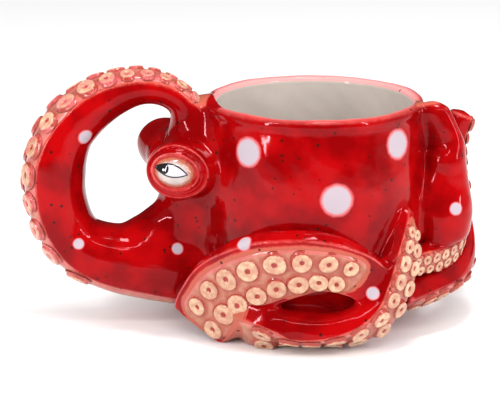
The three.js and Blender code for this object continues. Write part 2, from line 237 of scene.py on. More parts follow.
UPPER_ROUND_CUP = [
    (-141.5, 52, 22, (0.95, 0, -0.31), 16, 7.5), (-133, 52, 28.2, (0.95, 0, -0.3), 16, 7.3),
    (-120, 52, 34.8, (0.96, 0, -0.28), 15.6, 7), (-106, 52, 38.2, (0.96, 0, -0.28), 14.2, 6.7),
    (-95.5, 52, 38.4, (0.96, 0, -0.28), 12.8, 6.4), (-86, 52, 36, (0.96, 0, -0.28), 11.4, 6.1),
    (-78, 51.5, 31.6, (0.97, 0, -0.2), 10, 5.7), (-68, 50.5, 24, (0.97, 0, -0.2), 7.5, 5),
]
UPPER = [
    (-48.2, -21.4, 5, -0.74, -0.5, -0.46, 13.5, 7.5),
    (-47, -24, 9.5, -0.74, -0.53, -0.42, 15, 7.6),
    (-44.4, -28.4, 15.5, -0.74, -0.56, -0.37, 15.8, 7.6),
    *(on_cup(*station) for station in UPPER_ROUND_CUP),
]

LOWER_ROUND_CUP = [
    (-150, 41, 10, (0.8, 0, -0.6), 8, 6), (-140, 44, 9.8, (0.85, 0, -0.53), 9.4, 6.8),
    (-132, 47, 9.6, (0.85, 0, -0.53), 10.4, 7.4),
    (-125, 48.8, 9.8, (0.78, 0, -0.62), 10.8, 7.4),
    (-118, 48.8, 9.8, (0.62, 0, -0.78), 10.6, 7.2),
    (-110, 47.4, 9.5, (0.36, 0, -0.93), 10.2, 7), (-98, 48, 9.5, (0.34, 0, -0.94), 10, 6.7),
    (-88, 49.6, 10, (0.46, 0, -0.89), 10, 6.8),
    (-77, 51.5, 12.6, (0.72, 0.05, -0.68), 9.5, 6.8),
    (-68.5, 52.5, 18.5, (0.88, 0.1, -0.45), 9, 6.6),
    (-62.5, 52.5, 27, (0.96, 0.12, -0.2), 8.6, 6.2), (-58, 52, 37, (0.98, 0.14, 0), 7.6, 5.6),
    (-54.5, 51.3, 46, (0.98, 0.16, 0), 5.2, 4.5), (-52, 50.4, 52, (0.98, 0.16, 0), 2.8, 2.8),
    (-51, 50, 55, (0.98, 0.16, 0), 1.2, 1.4),
]
LOWER = [on_cup(*station) for station in LOWER_ROUND_CUP]

NEAR_END = [
    (44.4, -18.8, 94, 0.4, 0.9, 0, 5.2, 4), (45.2, -19.4, 89.5, 0.5, 0.85, 0, 7, 4.2),
    (47.4, -20.4, 83, 0.62, 0.78, 0, 8.2, 4), (49.8, -21, 77, 0.6, 0.8, 0, 8.4, 4.6),
    (50.6, -21.4, 72, 0.38, 0.92, 0, 8.2, 7.8), (50.6, -21.6, 65, 0.2, 0.95, 0, 9.2, 8.4),
    (50, -21.8, 58, 0.12, 0.97, 0, 11.2, 9.2), (49.6, -22.2, 52, 0.08, 0.97, 0, 12.4, 10.4),
    (49.6, -22.4, 46, 0.08, 0.97, -0.1, 12.4, 10.8), (50, -22, 40, 0.1, 0.95, -0.2, 11, 10.2),
    (50, -21.6, 35, 0.22, 0.95, -0.2, 8, 8),
]

NEAR_RUN = [
    (27, -38, 31.5, 0.4, -0.88, -0.25, 4.5, 4.5), (37, -33, 31.6, 0.42, -0.87, -0.25, 5.2, 5),
    (46, -27, 31.8, 0.5, -0.83, -0.25, 5.6, 5.2),
    (53.5, -19.5, 33.5, 0.75, -0.6, -0.25, 5.6, 5.4),
    (57.5, -10.5, 37, 0.95, -0.1, -0.2, 5.4, 5.2), (57, -4, 43, 0.95, 0.2, -0.2, 4.5, 4.5),
]

END = [
    (29, -35.5, 17, 0.25, -0.4, -0.88, 6.8, 6), (40, -28.5, 18, 0.3, -0.45, -0.84, 7.8, 6.6),
    (47.5, -24, 18.8, 0.38, -0.4, -0.83, 8.2, 6.8),
    (53.6, -18, 20.3, 0.48, -0.2, -0.85, 8.2, 6.8), (58.6, -11, 24, 0.42, 0.25, -0.87, 8, 6.4),
    (61.6, -4, 30, 0.2, 0.7, -0.68, 7.2, 6), (62.2, 2, 37.5, 0.15, 0.95, -0.25, 6.6, 5.6),
    (60.8, 6, 46, 0.2, 0.97, 0, 6, 5), (57.8, 8.5, 54, 0.3, 0.95, 0, 4.8, 4.2),
    (55, 9.5, 62, 0.35, 0.93, 0, 3.2, 3.2), (53.5, 9.7, 67, 0.35, 0.93, 0, 1.6, 1.6),
]

FAR_END = [
    (38, 33, 12, 0.4, 0.5, -0.78, 8, 6.4), (49, 28, 14, 0.5, 0.6, -0.6, 8.8, 6.8),
    (59, 22.5, 21, 0.45, 0.8, -0.4, 9, 7), (63.5, 18.5, 32, 0.3, 0.93, -0.2, 8.6, 6.8),
    (63.5, 16.5, 44, 0.35, 0.92, 0, 7.8, 6.4), (61.6, 15, 55, 0.5, 0.8, 0, 7, 6),
    (61, 13.6, 65, 0.8, 0.5, -0.1, 7, 5.3), (62.6, 12.6, 73, 0.95, 0.15, -0.2, 7, 5.2),
    (64.8, 12, 79, 0.95, 0.05, -0.25, 6.4, 5.2), (66, 12, 82.4, 0.95, 0.05, -0.25, 5.4, 4.6),
]


def mirrored(stations):
    return [(x, -y, z, i, -j, k, w, d) for x, y, z, i, j, k, w, d in stations]


def unit(vectors):
    return vectors / np.maximum(np.linalg.norm(vectors, axis=-1, keepdims=True), 1e-9)


LIP_BAND = 1.3  # width of the pink band along a belly's edge, mm
LIP_LOW, LIP_HIGH = 0.75, 1.12  # the heights between which skin counts as beside the belly
BELLY_TOP = 0.8  # these are parts of an arm's half thickness over its middle line
RIM_TOP = 0.19
RIM_PLACE, RIM_SPREAD = 0.9, 0.06  # these are parts of an arm's half width
END_ROUNDING = 7.0  # a belly narrows over this length at its ends, mm
END_STUB = 0.8
ARM_DEFAULTS = dict(
    fillet=2.0,  # how widely the arm flows into the form under it, mm
    rounding=1.5,  # how far its ends are rounded off, mm
    belly_start=0.05,  # parts of the arm's length
    belly_end=0.965,
    belly_width=0.84,  # parts of the half width
    belly_shift=0.0,
    belly_power=7.0,  # how square the section is on its belly side
    sucker_start=None,  # a part of the length, or the belly's start
    sucker_size=0.42,  # parts of the half width
    row_offset=0.43,
    least_width=0,  # suckers are as large as on an arm of at least this half width, mm
    pitch=2.2,  # parts of a sucker's radius
    stagger=0.5,  # how far one row is ahead of the other, as a part of the pitch
    lip_band=LIP_BAND,
    tip_band=-99.0,  # skin is pale all round up to this length, mm
    wash=0.12,  # how much pink glaze lies on the belly
)


class Arm:
    """An arm's middle line with its directions and half sizes at even steps of length."""

    STEP = 0.8

    def __init__(self, name, stations, **settings):
        self.name = name
        self.node = name
        self.__dict__.update(ARM_DEFAULTS | settings)
        table = np.array(stations, float)
        table[:, 3:6] = unit(table[:, 3:6])
        fine = catmull_rom(table, 60)
        gaps = np.linalg.norm(np.diff(fine[:, :3], axis=0), axis=1)
        along = np.concatenate([[0], np.cumsum(gaps)])
        self.length = along[-1]
        count = int(self.length / self.STEP) + 1
        self.s = np.linspace(0, self.length, count)
        even = np.column_stack([np.interp(self.s, along, column) for column in fine.T])
        self.middle = even[:, :3]
        self.tangent = unit(np.gradient(self.middle, axis=0))
        out = even[:, 3:6]
        out = out - self.tangent * np.sum(out * self.tangent, axis=1, keepdims=True)
        self.out = unit(out)
        self.across = np.cross(self.out, self.tangent)
        self.width = even[:, 6]
        self.depth = even[:, 7]

    def at(self, s):
        """Interpolated middle, tangent, out, across, width and depth."""
        lines = (self.middle, self.tangent, self.out, self.across, self.width, self.depth)
        middle, *axes, width, depth = [self.interpolated(s, line) for line in lines]
        return middle, *[unit(axis) for axis in axes], width, depth

    def interpolated(self, s, line):
        return np.array([np.interp(s, self.s, column) for column in np.atleast_2d(line.T)]).squeeze()

    def belly(self, b, lips=True):
        """Height of the belly over the middle line, as a part of the half thickness."""
        b = np.abs(b)
        rounded = np.maximum(1 - b**self.belly_power, 0) ** 0.5
        rim = RIM_TOP * np.exp(-(((b - RIM_PLACE) / RIM_SPREAD) ** 2)) if lips else 0
        return (BELLY_TOP + rim) * rounded

    def lip_distance(self, points):
        """How far skin is outside of the belly's edge, as a part of the width of its pink band."""
        edge = np.empty(len(points))
        batch = 20000
        for first in range(0, len(points), batch):
            part = slice(first, first + batch)
            p = points[part]
            gaps = np.sum(p * p, axis=1)[:, None] - 2 * p @ self.middle.T
            i = np.argmin(gaps + np.sum(self.middle**2, axis=1), axis=1)
            local = p - self.middle[i]
            b = np.sum(local * self.across[i], axis=1) / self.width[i] - self.belly_shift
            n = np.sum(local * self.out[i], axis=1) / self.depth[i]
            to_end = self.to_end(self.s[i])
            half = self.belly_width * self.narrowed(to_end)
            across_gap = (np.abs(b) - half) * self.width[i]
            down_gap = np.maximum(LIP_LOW - n, 0) * self.depth[i]
            beyond = np.maximum(n - LIP_HIGH, 0) * self.depth[i] + np.maximum(-to_end, 0)
            around_belly = (across_gap + down_gap) / self.lip_band + beyond / LIP_BAND
            edge[part] = np.minimum(around_belly, (self.s[i] - self.tip_band) / LIP_BAND)
        return edge

    def to_end(self, s):
        """The distance along the arm to the nearer end of its belly, mm."""
        return np.minimum(s - self.belly_start * self.length, self.belly_end * self.length - s)

    def narrowed(self, to_end):
        """The width of the belly, rounded off at its ends, as a part of its full width."""
        return np.sqrt(1 - np.clip(1 - (to_end + END_STUB) / END_ROUNDING, 0, 1) ** 2)

    def belly_point(self, s, b, lift):
        """A point over the belly at length s and across b, raised by lift."""
        middle, _, out, across, width, depth = self.at(s)
        return middle + across * (b * width) + out * (self.belly(b, False) * depth + lift)


SIDE_UPPER = dict(
    belly_start=0.02, belly_end=0.87, belly_width=0.8, least_width=11,
    sucker_start=0.03, sucker_size=0.28, row_offset=0.35, pitch=2.25, stagger=0.3,
)
SIDE_LOWER = dict(
    fillet=6.5, tip_band=20.0, belly_start=0.03,
    sucker_start=0.16, sucker_size=0.4, pitch=2.15, stagger=0.15,
)
ROUND_HANDLE = dict(
    fillet=8.5, lip_band=3.0, wash=0.9,
    belly_start=0.1, belly_end=0.935, belly_width=0.92, belly_power=2.6,
    sucker_start=0.28, sucker_size=0.31, row_offset=0.52, pitch=2.1,
)
CURLED_END = dict(
    fillet=6.0, rounding=4.5, tip_band=0.3,
    belly_start=0.3, belly_end=0.85, belly_width=0.7, belly_power=4.0,
)
ARMS = [
    Arm("handle_arm", HANDLE, **ROUND_HANDLE),
    Arm("near_lower_arm", LOWER, **SIDE_LOWER),
    Arm("near_upper_arm", UPPER, belly_shift=-0.1, **SIDE_UPPER),
    Arm("near_end_arm", NEAR_END, **CURLED_END),
    Arm("near_end_run", NEAR_RUN, node="near_end_arm", belly_width=0.9, fillet=1.5),
    Arm("end_arm", END, belly_power=4.0),
    Arm("far_lower_arm", mirrored(LOWER), **SIDE_LOWER),
    Arm("far_upper_arm", mirrored(UPPER), belly_shift=0.1, **SIDE_UPPER),
    Arm("far_end_arm", FAR_END),
]
SECTION_POINTS = 26
BACK_POWER = 2.2


def flesh_rings(arm):
    """Points of an arm's skin, a ring of points for each step of its length."""
    spread = np.cos(np.linspace(0, math.pi, SECTION_POINTS))
    back = spread[::-1][1:-1]
    b = np.concatenate([spread, back])
    n_belly = arm.belly(spread)
    n_back = -np.maximum(1 - np.abs(back) ** BACK_POWER, 0) ** (1 / BACK_POWER)
    n = np.concatenate([n_belly, n_back])
    to_tip = np.minimum(arm.s, arm.length - arm.s)
    size = np.sqrt(1 - np.clip((arm.rounding - to_tip) / (arm.rounding + 0.1), 0, 1) ** 2)
    across = arm.across[:, None] * (b[None, :, None] * (arm.width * size)[:, None, None])
    out = arm.out[:, None] * (n[None, :, None] * (arm.depth * size)[:, None, None])
    return arm.middle[:, None] + across + out


def closed_skin(rings):
    """Vertices, quads and end triangles of a closed skin over rings."""
    steps, sides, _ = rings.shape
    points = np.vstack([rings.reshape(-1, 3), rings[0].mean(0), rings[-1].mean(0)])
    i, j = np.meshgrid(np.arange(steps - 1), np.arange(sides), indexing="ij")
    a = (i * sides + j).ravel()
    b = (i * sides + (j + 1) % sides).ravel()
    quads = np.column_stack([a, b, b + sides, a + sides])
    j = np.arange(sides)
    first, last = steps * sides, steps * sides + 1
    top = (steps - 1) * sides
    start = np.column_stack([np.full(sides, first), (j + 1) % sides, j])
    end = np.column_stack([np.full(sides, last), top + j, top + (j + 1) % sides])
    return points, quads, np.vstack([start, end])


def field_of_skin(rings, reach):
    """The distance field of a closed skin in its own region of the lattice."""
    points, quads, triangles = closed_skin(rings)
    where, first, shape = region(points.min(0) - reach, points.max(0) + reach)
    grid = openvdb.FloatGrid.createLevelSetFromPolygons(
        points.astype(np.float32),
        triangles=triangles.astype(np.uint32),
        quads=quads.astype(np.uint32),
        transform=GRID_TRANSFORM,
        halfWidth=reach / VOXEL,
    )
    field = np.empty(shape, np.float32)
    grid.copyToArray(field, ijk=tuple(int(v) for v in first))
    return field, where, first


# ---- meshes from fields ----


def sample(field, index):
    """Trilinear values of a field at fractional indices."""
    index = np.clip(index, 0, np.array(field.shape) - 1.001)
    low = index.astype(int)
    part = index - low
    total = 0
    for corner in np.ndindex(2, 2, 2):
        x, y, z = np.where(corner, part, 1 - part).T
        total = total + x * y * z * field[tuple((low + corner).T)]
    return total


def slope(field, index):
    """Gradient of a field at fractional indices, per voxel."""
    pairs = [(sample(field, index + step), sample(field, index - step)) for step in np.eye(3)]
    return np.column_stack([(after - before) / 2 for after, before in pairs])


FIELD_BAND = 3.0  # the fields are cut off at this distance, mm


def surface_of(field, first):
    """Vertices, normals and quads of a field's zero surface, mm."""
    border = 2
    field = np.pad(field, border, constant_values=FIELD_BAND)
    first = np.array(first) - border
    grid = openvdb.FloatGrid()
    grid.background = FIELD_BAND
    grid.transform = GRID_TRANSFORM
    grid.gridClass = openvdb.GridClass.LEVEL_SET
    clipped = np.clip(field, -FIELD_BAND, FIELD_BAND)
    grid.copyFromArray(clipped, ijk=tuple(int(v) for v in first), tolerance=0)
    points, quads = grid.convertToQuads(isovalue=0.0)
    index = points.astype(float) / VOXEL - first
    for _ in range(3):
        value = sample(clipped, index)
        grad = slope(clipped, index)
        size = np.maximum(np.sum(grad * grad, axis=1), 1e-3)
        index -= np.clip((value / size)[:, None] * grad, -0.4, 0.4)
    normals = unit(slope(clipped, index))
    return (index + first) * VOXEL, normals, quads[:, ::-1]


def faces_outward(points, faces):
    """The faces, turned over if the closed body they bound would be inside out."""
    fans = [(face[0], *face[i : i + 2]) for face in faces for i in range(1, len(face) - 1)]
    p, q, r = points[np.array(fans).T]
    volume = np.sum(p * np.cross(q, r))
    return faces if volume > 0 else [face[::-1] for face in faces]


def place(name, node, points, faces, material, attributes, normals=None):
    """Makes a piece from points in mm, which stands for a CAD node."""
    mesh = bpy.data.meshes.new(name)
    mesh.from_pydata((points * MM).tolist(), [], faces_outward(points, faces))
    mesh.polygons.foreach_set("use_smooth", np.ones(len(mesh.polygons), bool))
    for key, values in attributes.items():
        layer = mesh.attributes.new(key, "FLOAT", "POINT")
        layer.data.foreach_set("value", np.asarray(values, np.float32))
    mesh.update()
    if normals is not None:
        mesh.normals_split_custom_set_from_vertices(normals.tolist())
    mesh.materials.append(material)
    piece = bpy.data.objects.new(name, mesh)
    bpy.context.collection.objects.link(piece)
    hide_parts(node)
    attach(piece, "root")
    return piece


# ---- modelling the clay ----

LAP = 0.06  # how far a fillet's thin edge dips under the form that it runs out on
SHELL = 2.0  # how deep a piece goes under the forms that it joins
TABLE = 0.15  # the lowest place of any arm
LINING_GAP = 1.5  # how far the pieces stay behind the cup's inner wall
HEAD_CENTRE = np.array([-42, 0, 60])
HEAD_RADII = np.array([22, 17, 34])
THROAT_LOW = np.array([-67, 0, 34.5])
THROAT_HIGH = np.array([-54.5, 0, 43.5])
THROAT_RADIUS = 12.0
THROAT_FILLET = 8.0
HEAD_FILLET = 10.0
LID_FILLET = 9.0
LID_REACH = 30.0
EYE_LONG, EYE_TALL, EYE_DEEP = 8.6, 6.4, 5.0
EYE_X, EYE_Y, EYE_Z = -58.8, 19.5, 69.4
EYE_TILT = 0.23
EYE_HEIGHT = 7.4  # the eyeball's middle over the lid's own origin


def cup_outline():
    return np.vstack([[(0, 0.3)], outer_wall(), lip_arc()[:12], [(0, CUP_HEIGHT)]])


def ellipsoid_field(x, y, z, centre, radii):
    """Nearly the distance to an ellipsoid."""
    p = [a - c for a, c in zip((x, y, z), centre)]
    k0 = np.sqrt(sum((a / r) ** 2 for a, r in zip(p, radii)))
    k1 = np.sqrt(sum((a / r**2) ** 2 for a, r in zip(p, radii)))
    return k0 * (k0 - 1) / np.maximum(k1, 1e-6)


def rod_field(x, y, z, start, end, radius):
    """Distance to a rod with round ends."""
    line = end - start
    p = (x - start[0], y - start[1], z - start[2])
    t = np.clip(sum(a * b for a, b in zip(p, line)) / line.dot(line), 0, 1)
    return np.sqrt(sum((a - t * b) ** 2 for a, b in zip(p, line))) - radius


def eye_axes(side):
    """The eye's centre and its directions along, up and out. side is -1 near and 1 far."""
    out = unit(np.array([-0.2, side * 0.97, 0.12]))
    along = np.array([-math.cos(EYE_TILT), 0, math.sin(EYE_TILT)])
    along = unit(along - out * along.dot(out))
    return np.array([EYE_X, side * EYE_Y, EYE_Z]), along, np.cross(out, along), out


def eye_coordinates(side, x, y, z):
    centre, along, up, out = eye_axes(side)
    p = (x - centre[0], y - centre[1], z - centre[2])
    return [sum(a * d for a, d in zip(p, axis)) for axis in (along, up, out)]


LID_INNER, LID_OUTER = 7.5, 11.6
INNER_OVAL = 8.4, 6.2
OUTER_LONG_FRONT, OUTER_LONG_BACK, OUTER_TALL = 11.9, 14.5, 11.4
LID_PROFILE = [
    (0, -13), (10.2, -13), (11.3, -6), (11.7, -1), (11.6, 3), (11.3, 5), (10.9, 6.4),
    (10.45, 6.9), (10.1, 6.5), (9.8, 7.2), (9.4, 8.0), (9.1, 7.6), (8.8, 8.3), (8.3, 9.0),
    (7.95, 8.9), (7.7, 8.4), (7.4, 8.8), (7.0, 8.9), (6.7, 8.4), (6.3, 7), (0, 6.5),
]


def oval(angle, long, tall):
    """The radius of an oval at an angle."""
    return 1 / np.sqrt((np.cos(angle) / long) ** 2 + (np.sin(angle) / tall) ** 2)


def lid_field(side, x, y, z):
    """A mound with folds that run round the eyeball, from an inner oval out to an outer one."""
    u, v, w = eye_coordinates(side, x, y, z)
    angle = np.arctan2(v, u)
    reach = np.sqrt(u * u + v * v)
    inner = oval(angle, *INNER_OVAL)
    outer = oval(angle, np.where(u > 0, OUTER_LONG_FRONT, OUTER_LONG_BACK), OUTER_TALL)
    folds = LID_INNER + (LID_OUTER - LID_INNER) * (reach - inner) / (outer - inner)
    r = np.where(reach > inner, folds, reach / inner * LID_INNER)
    return lathe_field(catmull_rom(LID_PROFILE, 4), r, w)


class Clay:
    """The whole form so far, as one distance field on the lattice."""

    def __init__(self):
        _, self.first, shape = region(SPACE_LOW * VOXEL, SPACE_HIGH * VOXEL)
        x, y, z = axes_of(self.first, shape)
        self.field = lathe_field(cup_outline(), np.sqrt(x * x + y * y), z) - waviness(x, y, z)

    def add(self, own, where, first, fillet):
        """Joins a form to the clay, and returns the field of its own piece."""
        x, y, z = axes_of(first, own.shape)
        old = self.field[where].copy()
        joined = smooth_min(old, own, fillet)
        self.field[where] = joined
        piece = np.maximum(joined + LAP, own - fillet)
        piece = np.maximum(piece, -(old + SHELL))
        wall = inner_wall()[::-1]
        inner = np.interp(z, wall[:, 1], wall[:, 0], left=-99) + LINING_GAP
        piece = np.maximum(piece, inner - np.sqrt(x * x + y * y))
        return np.maximum(piece, TABLE - z)

    def at(self, points):
        return sample(self.field, points / VOXEL - self.first)

    def nearest(self, points):
        """The points of the surface that are straight under or over the given ones."""
        for _ in range(6):
            grad = unit(slope(self.field, points / VOXEL - self.first))
            points = points - self.at(points)[:, None] * grad
        return points

    def raised(self, points, step=1.4):
        """How much the surface bulges at points: positive on edges, negative in folds."""
        total = -6 * self.at(points)
        for axis in np.eye(3):
            total += self.at(points + step * axis) + self.at(points - step * axis)
        return total / 6


# Painted dots: a point near each one's middle, and its radius, mm.
DOTS = [
    (-32.5, -34, 79, 5.9), (1, -47, 62, 6.4), (28, -37.5, 81, 6.0),
    (-94.5, -11, 82, 3.1), (-98.5, -12, 38, 2.3), (-58, -15, 35, 2.4),
    (-34, -47, 45, 3.2), (14.3, -56, 26, 2.7), (52.5, -31, 52, 2.7),
    (-8, 47, 58, 6.8), (24, 40, 80, 6.2), (-30, 36, 76, 5.6),
    (-92, 14, 76, 2.6), (-60, 13, 33, 2.6), (48.3, 3, 76, 4.4),
]


def dot_distance(points, clay):
    """Distance to the nearest painted dot's middle over its radius."""
    best = np.full(len(points), np.inf)
    for x, y, z, radius in DOTS:
        middle = clay.nearest(np.array([[x, y, z]], float))
        best = np.minimum(best, np.linalg.norm(points - middle, axis=1) / radius)
    return best


def flesh_attributes(points, clay):
    return {
        "raised": clay.raised(points),
        "dot": dot_distance(points, clay),
        "lining": np.full(len(points), -99.0),
        "lip": np.full(len(points), 99.0),
    }


def add_arm(clay, arm):
    """The piece field of an arm, and where it starts."""
    own, where, first = field_of_skin(flesh_rings(arm), arm.fillet + 2.5)
    own = own - waviness(*axes_of(first, own.shape))
    return arm, arm.name, arm.node, clay.add(own, where, first, arm.fillet), first


def add_head(clay):
    reach = HEAD_RADII + HEAD_FILLET + 2
    low = np.minimum(HEAD_CENTRE - reach, THROAT_LOW - THROAT_RADIUS - HEAD_FILLET - 2)
    where, first, shape = region(low, HEAD_CENTRE + reach)
    x, y, z = axes_of(first, shape)
    own = ellipsoid_field(x, y, z, HEAD_CENTRE, HEAD_RADII)
    throat = rod_field(x, y, z, THROAT_LOW, THROAT_HIGH, THROAT_RADIUS)
    own = smooth_min(own, throat, THROAT_FILLET) - waviness(x, y, z)
    return None, "head", "head", clay.add(own, where, first, HEAD_FILLET), first


def add_lid(clay, side, name):
    centre = eye_axes(side)[0]
    where, first, shape = region(centre - LID_REACH, centre + LID_REACH)
    x, y, z = axes_of(first, shape)
    own = lid_field(side, x, y, z) - 0.4 * waviness(x, y, z)
    return None, name, name, clay.add(own, where, first, LID_FILLET), first


def make_flesh():
    """Joins all red forms, in the order in which they lie over each other."""
    clay = Clay()
    made = [add_head(clay), add_arm(clay, ARMS[0])]
    made += [add_lid(clay, -1, "near_eyelid"), add_lid(clay, 1, "far_eyelid")]
    made += [add_arm(clay, arm) for arm in reversed(ARMS[1:])]
    for arm, name, node, field, first in made:
        points, normals, quads = surface_of(field, first)
        attributes = flesh_attributes(points, clay)
        if arm:
            attributes["lip"] = arm.lip_distance(points)
        place(name, node, points, quads.tolist(), RED_GLAZE, attributes, normals)
    return clay


# ---- the cup ----

CUP_RINGS, CUP_SIDES = 330, 300


def make_cup(clay):
    """The cup, thrown in one piece: its underside with a foot ring, both walls and its floor."""
    foot = [(0, 0.9), (14, 0.9), (26, 0.9), (28.4, 0.7), (29.4, 0.15), (31.5, 0.0), (33.6, 0.1)]
    outline = np.vstack([foot, outer_wall(), lip_arc(), inner_wall()])
    gaps = np.linalg.norm(np.diff(outline, axis=0), axis=1)
    along = np.concatenate([[0], np.cumsum(gaps)])
    even = np.linspace(0, along[-1], CUP_RINGS)
    r = np.interp(even, along, outline[:, 0])
    h = np.interp(even, along, outline[:, 1])
    turn = np.arange(CUP_SIDES) * 2 * math.pi / CUP_SIDES

    def swept(r, h):
        """Radii and heights of the rings, carried round the axis."""
        steps = r[:, None] * np.cos(turn), r[:, None] * np.sin(turn), h[:, None] + 0 * turn
        return np.stack(steps, axis=-1)

    points = swept(r, h)
    dr, dh = np.gradient(r), np.gradient(h)
    size = np.hypot(dr, dh)
    normals = swept(dh / size, -dr / size)
    uneven = waviness(*np.moveaxis(points, -1, 0)) * np.clip(points[..., 2] / 4, 0, 1)
    points = points + normals * uneven[..., None]
    flat, quads, triangles = closed_skin(points[1:-1])
    lip = along[len(foot) + len(outer_wall()) + len(lip_arc()) - 3]
    lining = np.concatenate([np.repeat(even[1:-1] - lip, CUP_SIDES), [-99, 99]])
    faces = quads.tolist() + triangles.tolist()
    attributes = flesh_attributes(flat, clay)
    attributes["lining"] = lining
    attributes["raised"] = np.where(lining > -1, 0.1, attributes["raised"])
    place("cup_body", "cup_body", flat, faces, RED_GLAZE, attributes)


# ---- bellies and suckers ----

# A sucker's outline: radius and height as parts of its own radius and height.
SUCKER_PROFILE = [
    (1.3, -0.4), (1.2, -0.12), (1.1, 0.08), (1.03, 0.35), (0.99, 0.65), (0.95, 0.88),
    (0.87, 1.0), (0.74, 1.02), (0.58, 0.98), (0.43, 0.92), (0.31, 0.8), (0.235, 0.55),
    (0.17, 0.38), (0.08, 0.32),
]
SUCKER_HEIGHT = 1.35
SUCKER_SIDES = 32
SUCKER_LIFT = 0.3  # mm over the belly
LEAST_SUCKER = 0.9  # the smallest radius, mm
BELLY_LIFT = 0.45  # mm
BELLY_SKIN = 1.8  # its thickness, mm
BELLY_POINTS = 33
EDGE_BAND = 0.8  # the belly dips into the arm from here to its edge, as a part of its half width
EDGE_DIP = 1.5
END_BAND = 3.5  # and over this length at its ends, mm
END_DIP = 1.6
RIDGE = 0.3  # the clay that a sucker pushes up round itself, mm
NO_RING = 3.0  # the ring attribute of a belly, more than that of any sucker
LOWEST_SUCKER = 0.12  # mm over the table
PROBE, CLEAR = 2.2, 0.7  # a sucker shows if a probe this high over it is this clear of the clay
FAR_OFF = 9.0
FULL_TURN = 6.28


def sucker_spots(arm):
    """Where the suckers stand: length along the arm, part across it, and radius."""
    spots = []
    s = (arm.sucker_start or arm.belly_start) * arm.length
    while True:
        radius = max(np.interp(s, arm.s, arm.width), arm.least_width) * arm.sucker_size
        pitch = arm.pitch * radius
        if s + 1.2 * pitch > arm.belly_end * arm.length or radius < LEAST_SUCKER:
            break
        for row in (-1, 1):
            at = s + pitch * (0.6 + arm.stagger * (row > 0))
            b = arm.belly_shift + row * arm.row_offset
            spots.append((at, b, radius * RNG.uniform(0.93, 1.05)))
        s += pitch
    return spots


def sucker_frame(arm, s, b):
    """The middle of a sucker's foot, and its directions across, along and up."""
    ds, db = 0.5, 0.05

    def spot(s, b):
        return arm.belly_point(s, b, SUCKER_LIFT)

    foot = spot(s, b)
    along = spot(s + ds, b) - spot(s - ds, b)
    side = spot(s, b + db) - spot(s, b - db)
    up = unit(np.cross(along, side))
    if up.dot(arm.at(s)[2]) < 0:
        up = -up
    side = unit(side)
    return foot, side, np.cross(up, side), up


def sucker_mesh(arm, s, b, radius):
    """A disc with a soft rim and a dimple, a little uneven as if pressed by hand."""
    foot, side, along, up = sucker_frame(arm, s, b)
    foot = foot + up * waviness(*foot)
    tilt = RNG.uniform(-0.07, 0.07, 2)
    phase = RNG.uniform(0, FULL_TURN, 2)
    dimple = RNG.uniform(-0.1, 0.1, 2)
    profile = np.array(SUCKER_PROFILE)
    turn = np.arange(SUCKER_SIDES) * 2 * math.pi / SUCKER_SIDES
    uneven = 0.035 * np.cos(2 * turn + phase[0]) + 0.02 * np.cos(3 * turn + phase[1])
    r = profile[:, :1] * (1 + uneven)
    inner = np.clip((0.8 - profile[:, :1]) / 0.6, 0, 1)
    u = radius * (r * np.cos(turn) + inner * dimple[0])
    v = radius * (r * np.sin(turn) + inner * dimple[1])
    height = SUCKER_HEIGHT * min(1, radius / 3.2)
    n = height * profile[:, 1:] + tilt[0] * u + tilt[1] * v
    rings = foot + u[..., None] * side + v[..., None] * along + n[..., None] * up
    points, quads, triangles = closed_skin(rings)
    ring = np.concatenate([np.repeat(profile[:, 0], SUCKER_SIDES), [0.6, 0.0]])
    return points, quads, triangles, ring


def belly_skin(arm, spots):
    """The pale strip that the suckers stand on, and how near its points are to suckers."""
    lengths = np.arange(arm.belly_start * arm.length, arm.belly_end * arm.length, Arm.STEP)
    parts = np.linspace(1, -1, BELLY_POINTS)
    off_middle = np.abs(parts)
    edge_dip = EDGE_DIP * np.clip((off_middle - EDGE_BAND) / (1 - EDGE_BAND), 0, 1) ** 2
    feet = np.array([sucker_frame(arm, s, b)[0] for s, b, _ in spots]).reshape(-1, 3)
    radii = np.array([radius for _, _, radius in spots])
    rings, gaps, rims = [], [], []
    for s in lengths:
        middle, _, out, across, width, depth = arm.at(s)
        to_end = arm.to_end(s)
        b = arm.belly_shift + parts * arm.belly_width * arm.narrowed(to_end)
        lift = BELLY_LIFT - edge_dip - END_DIP * np.clip(1 - to_end / END_BAND, 0, 1) ** 2
        top = middle + across * (b * width)[:, None]
        top = top + out * (arm.belly(b, False) * depth)[:, None]
        distance = np.linalg.norm(top[:, None] - feet[None], axis=2) - radii
        gap = distance.min(axis=1)
        lift = lift + RIDGE * np.exp(-((gap / 0.9) ** 2)) * (off_middle < 0.85)
        lift = lift + waviness(*top.T)
        under = top + out * (lift - BELLY_SKIN)[:, None]
        top = top + out * lift[:, None]
        rings.append(np.vstack([top, under[::-1]]))
        gaps.append(np.concatenate([gap, gap[::-1]]))
        rims.append(np.concatenate([off_middle, off_middle]))
    points, quads, triangles = closed_skin(np.array(rings))
    caps = [FAR_OFF] * 2
    gap, rim = np.concatenate([*gaps, caps]), np.concatenate([*rims, caps])
    return points, quads, triangles, NO_RING, gap, rim


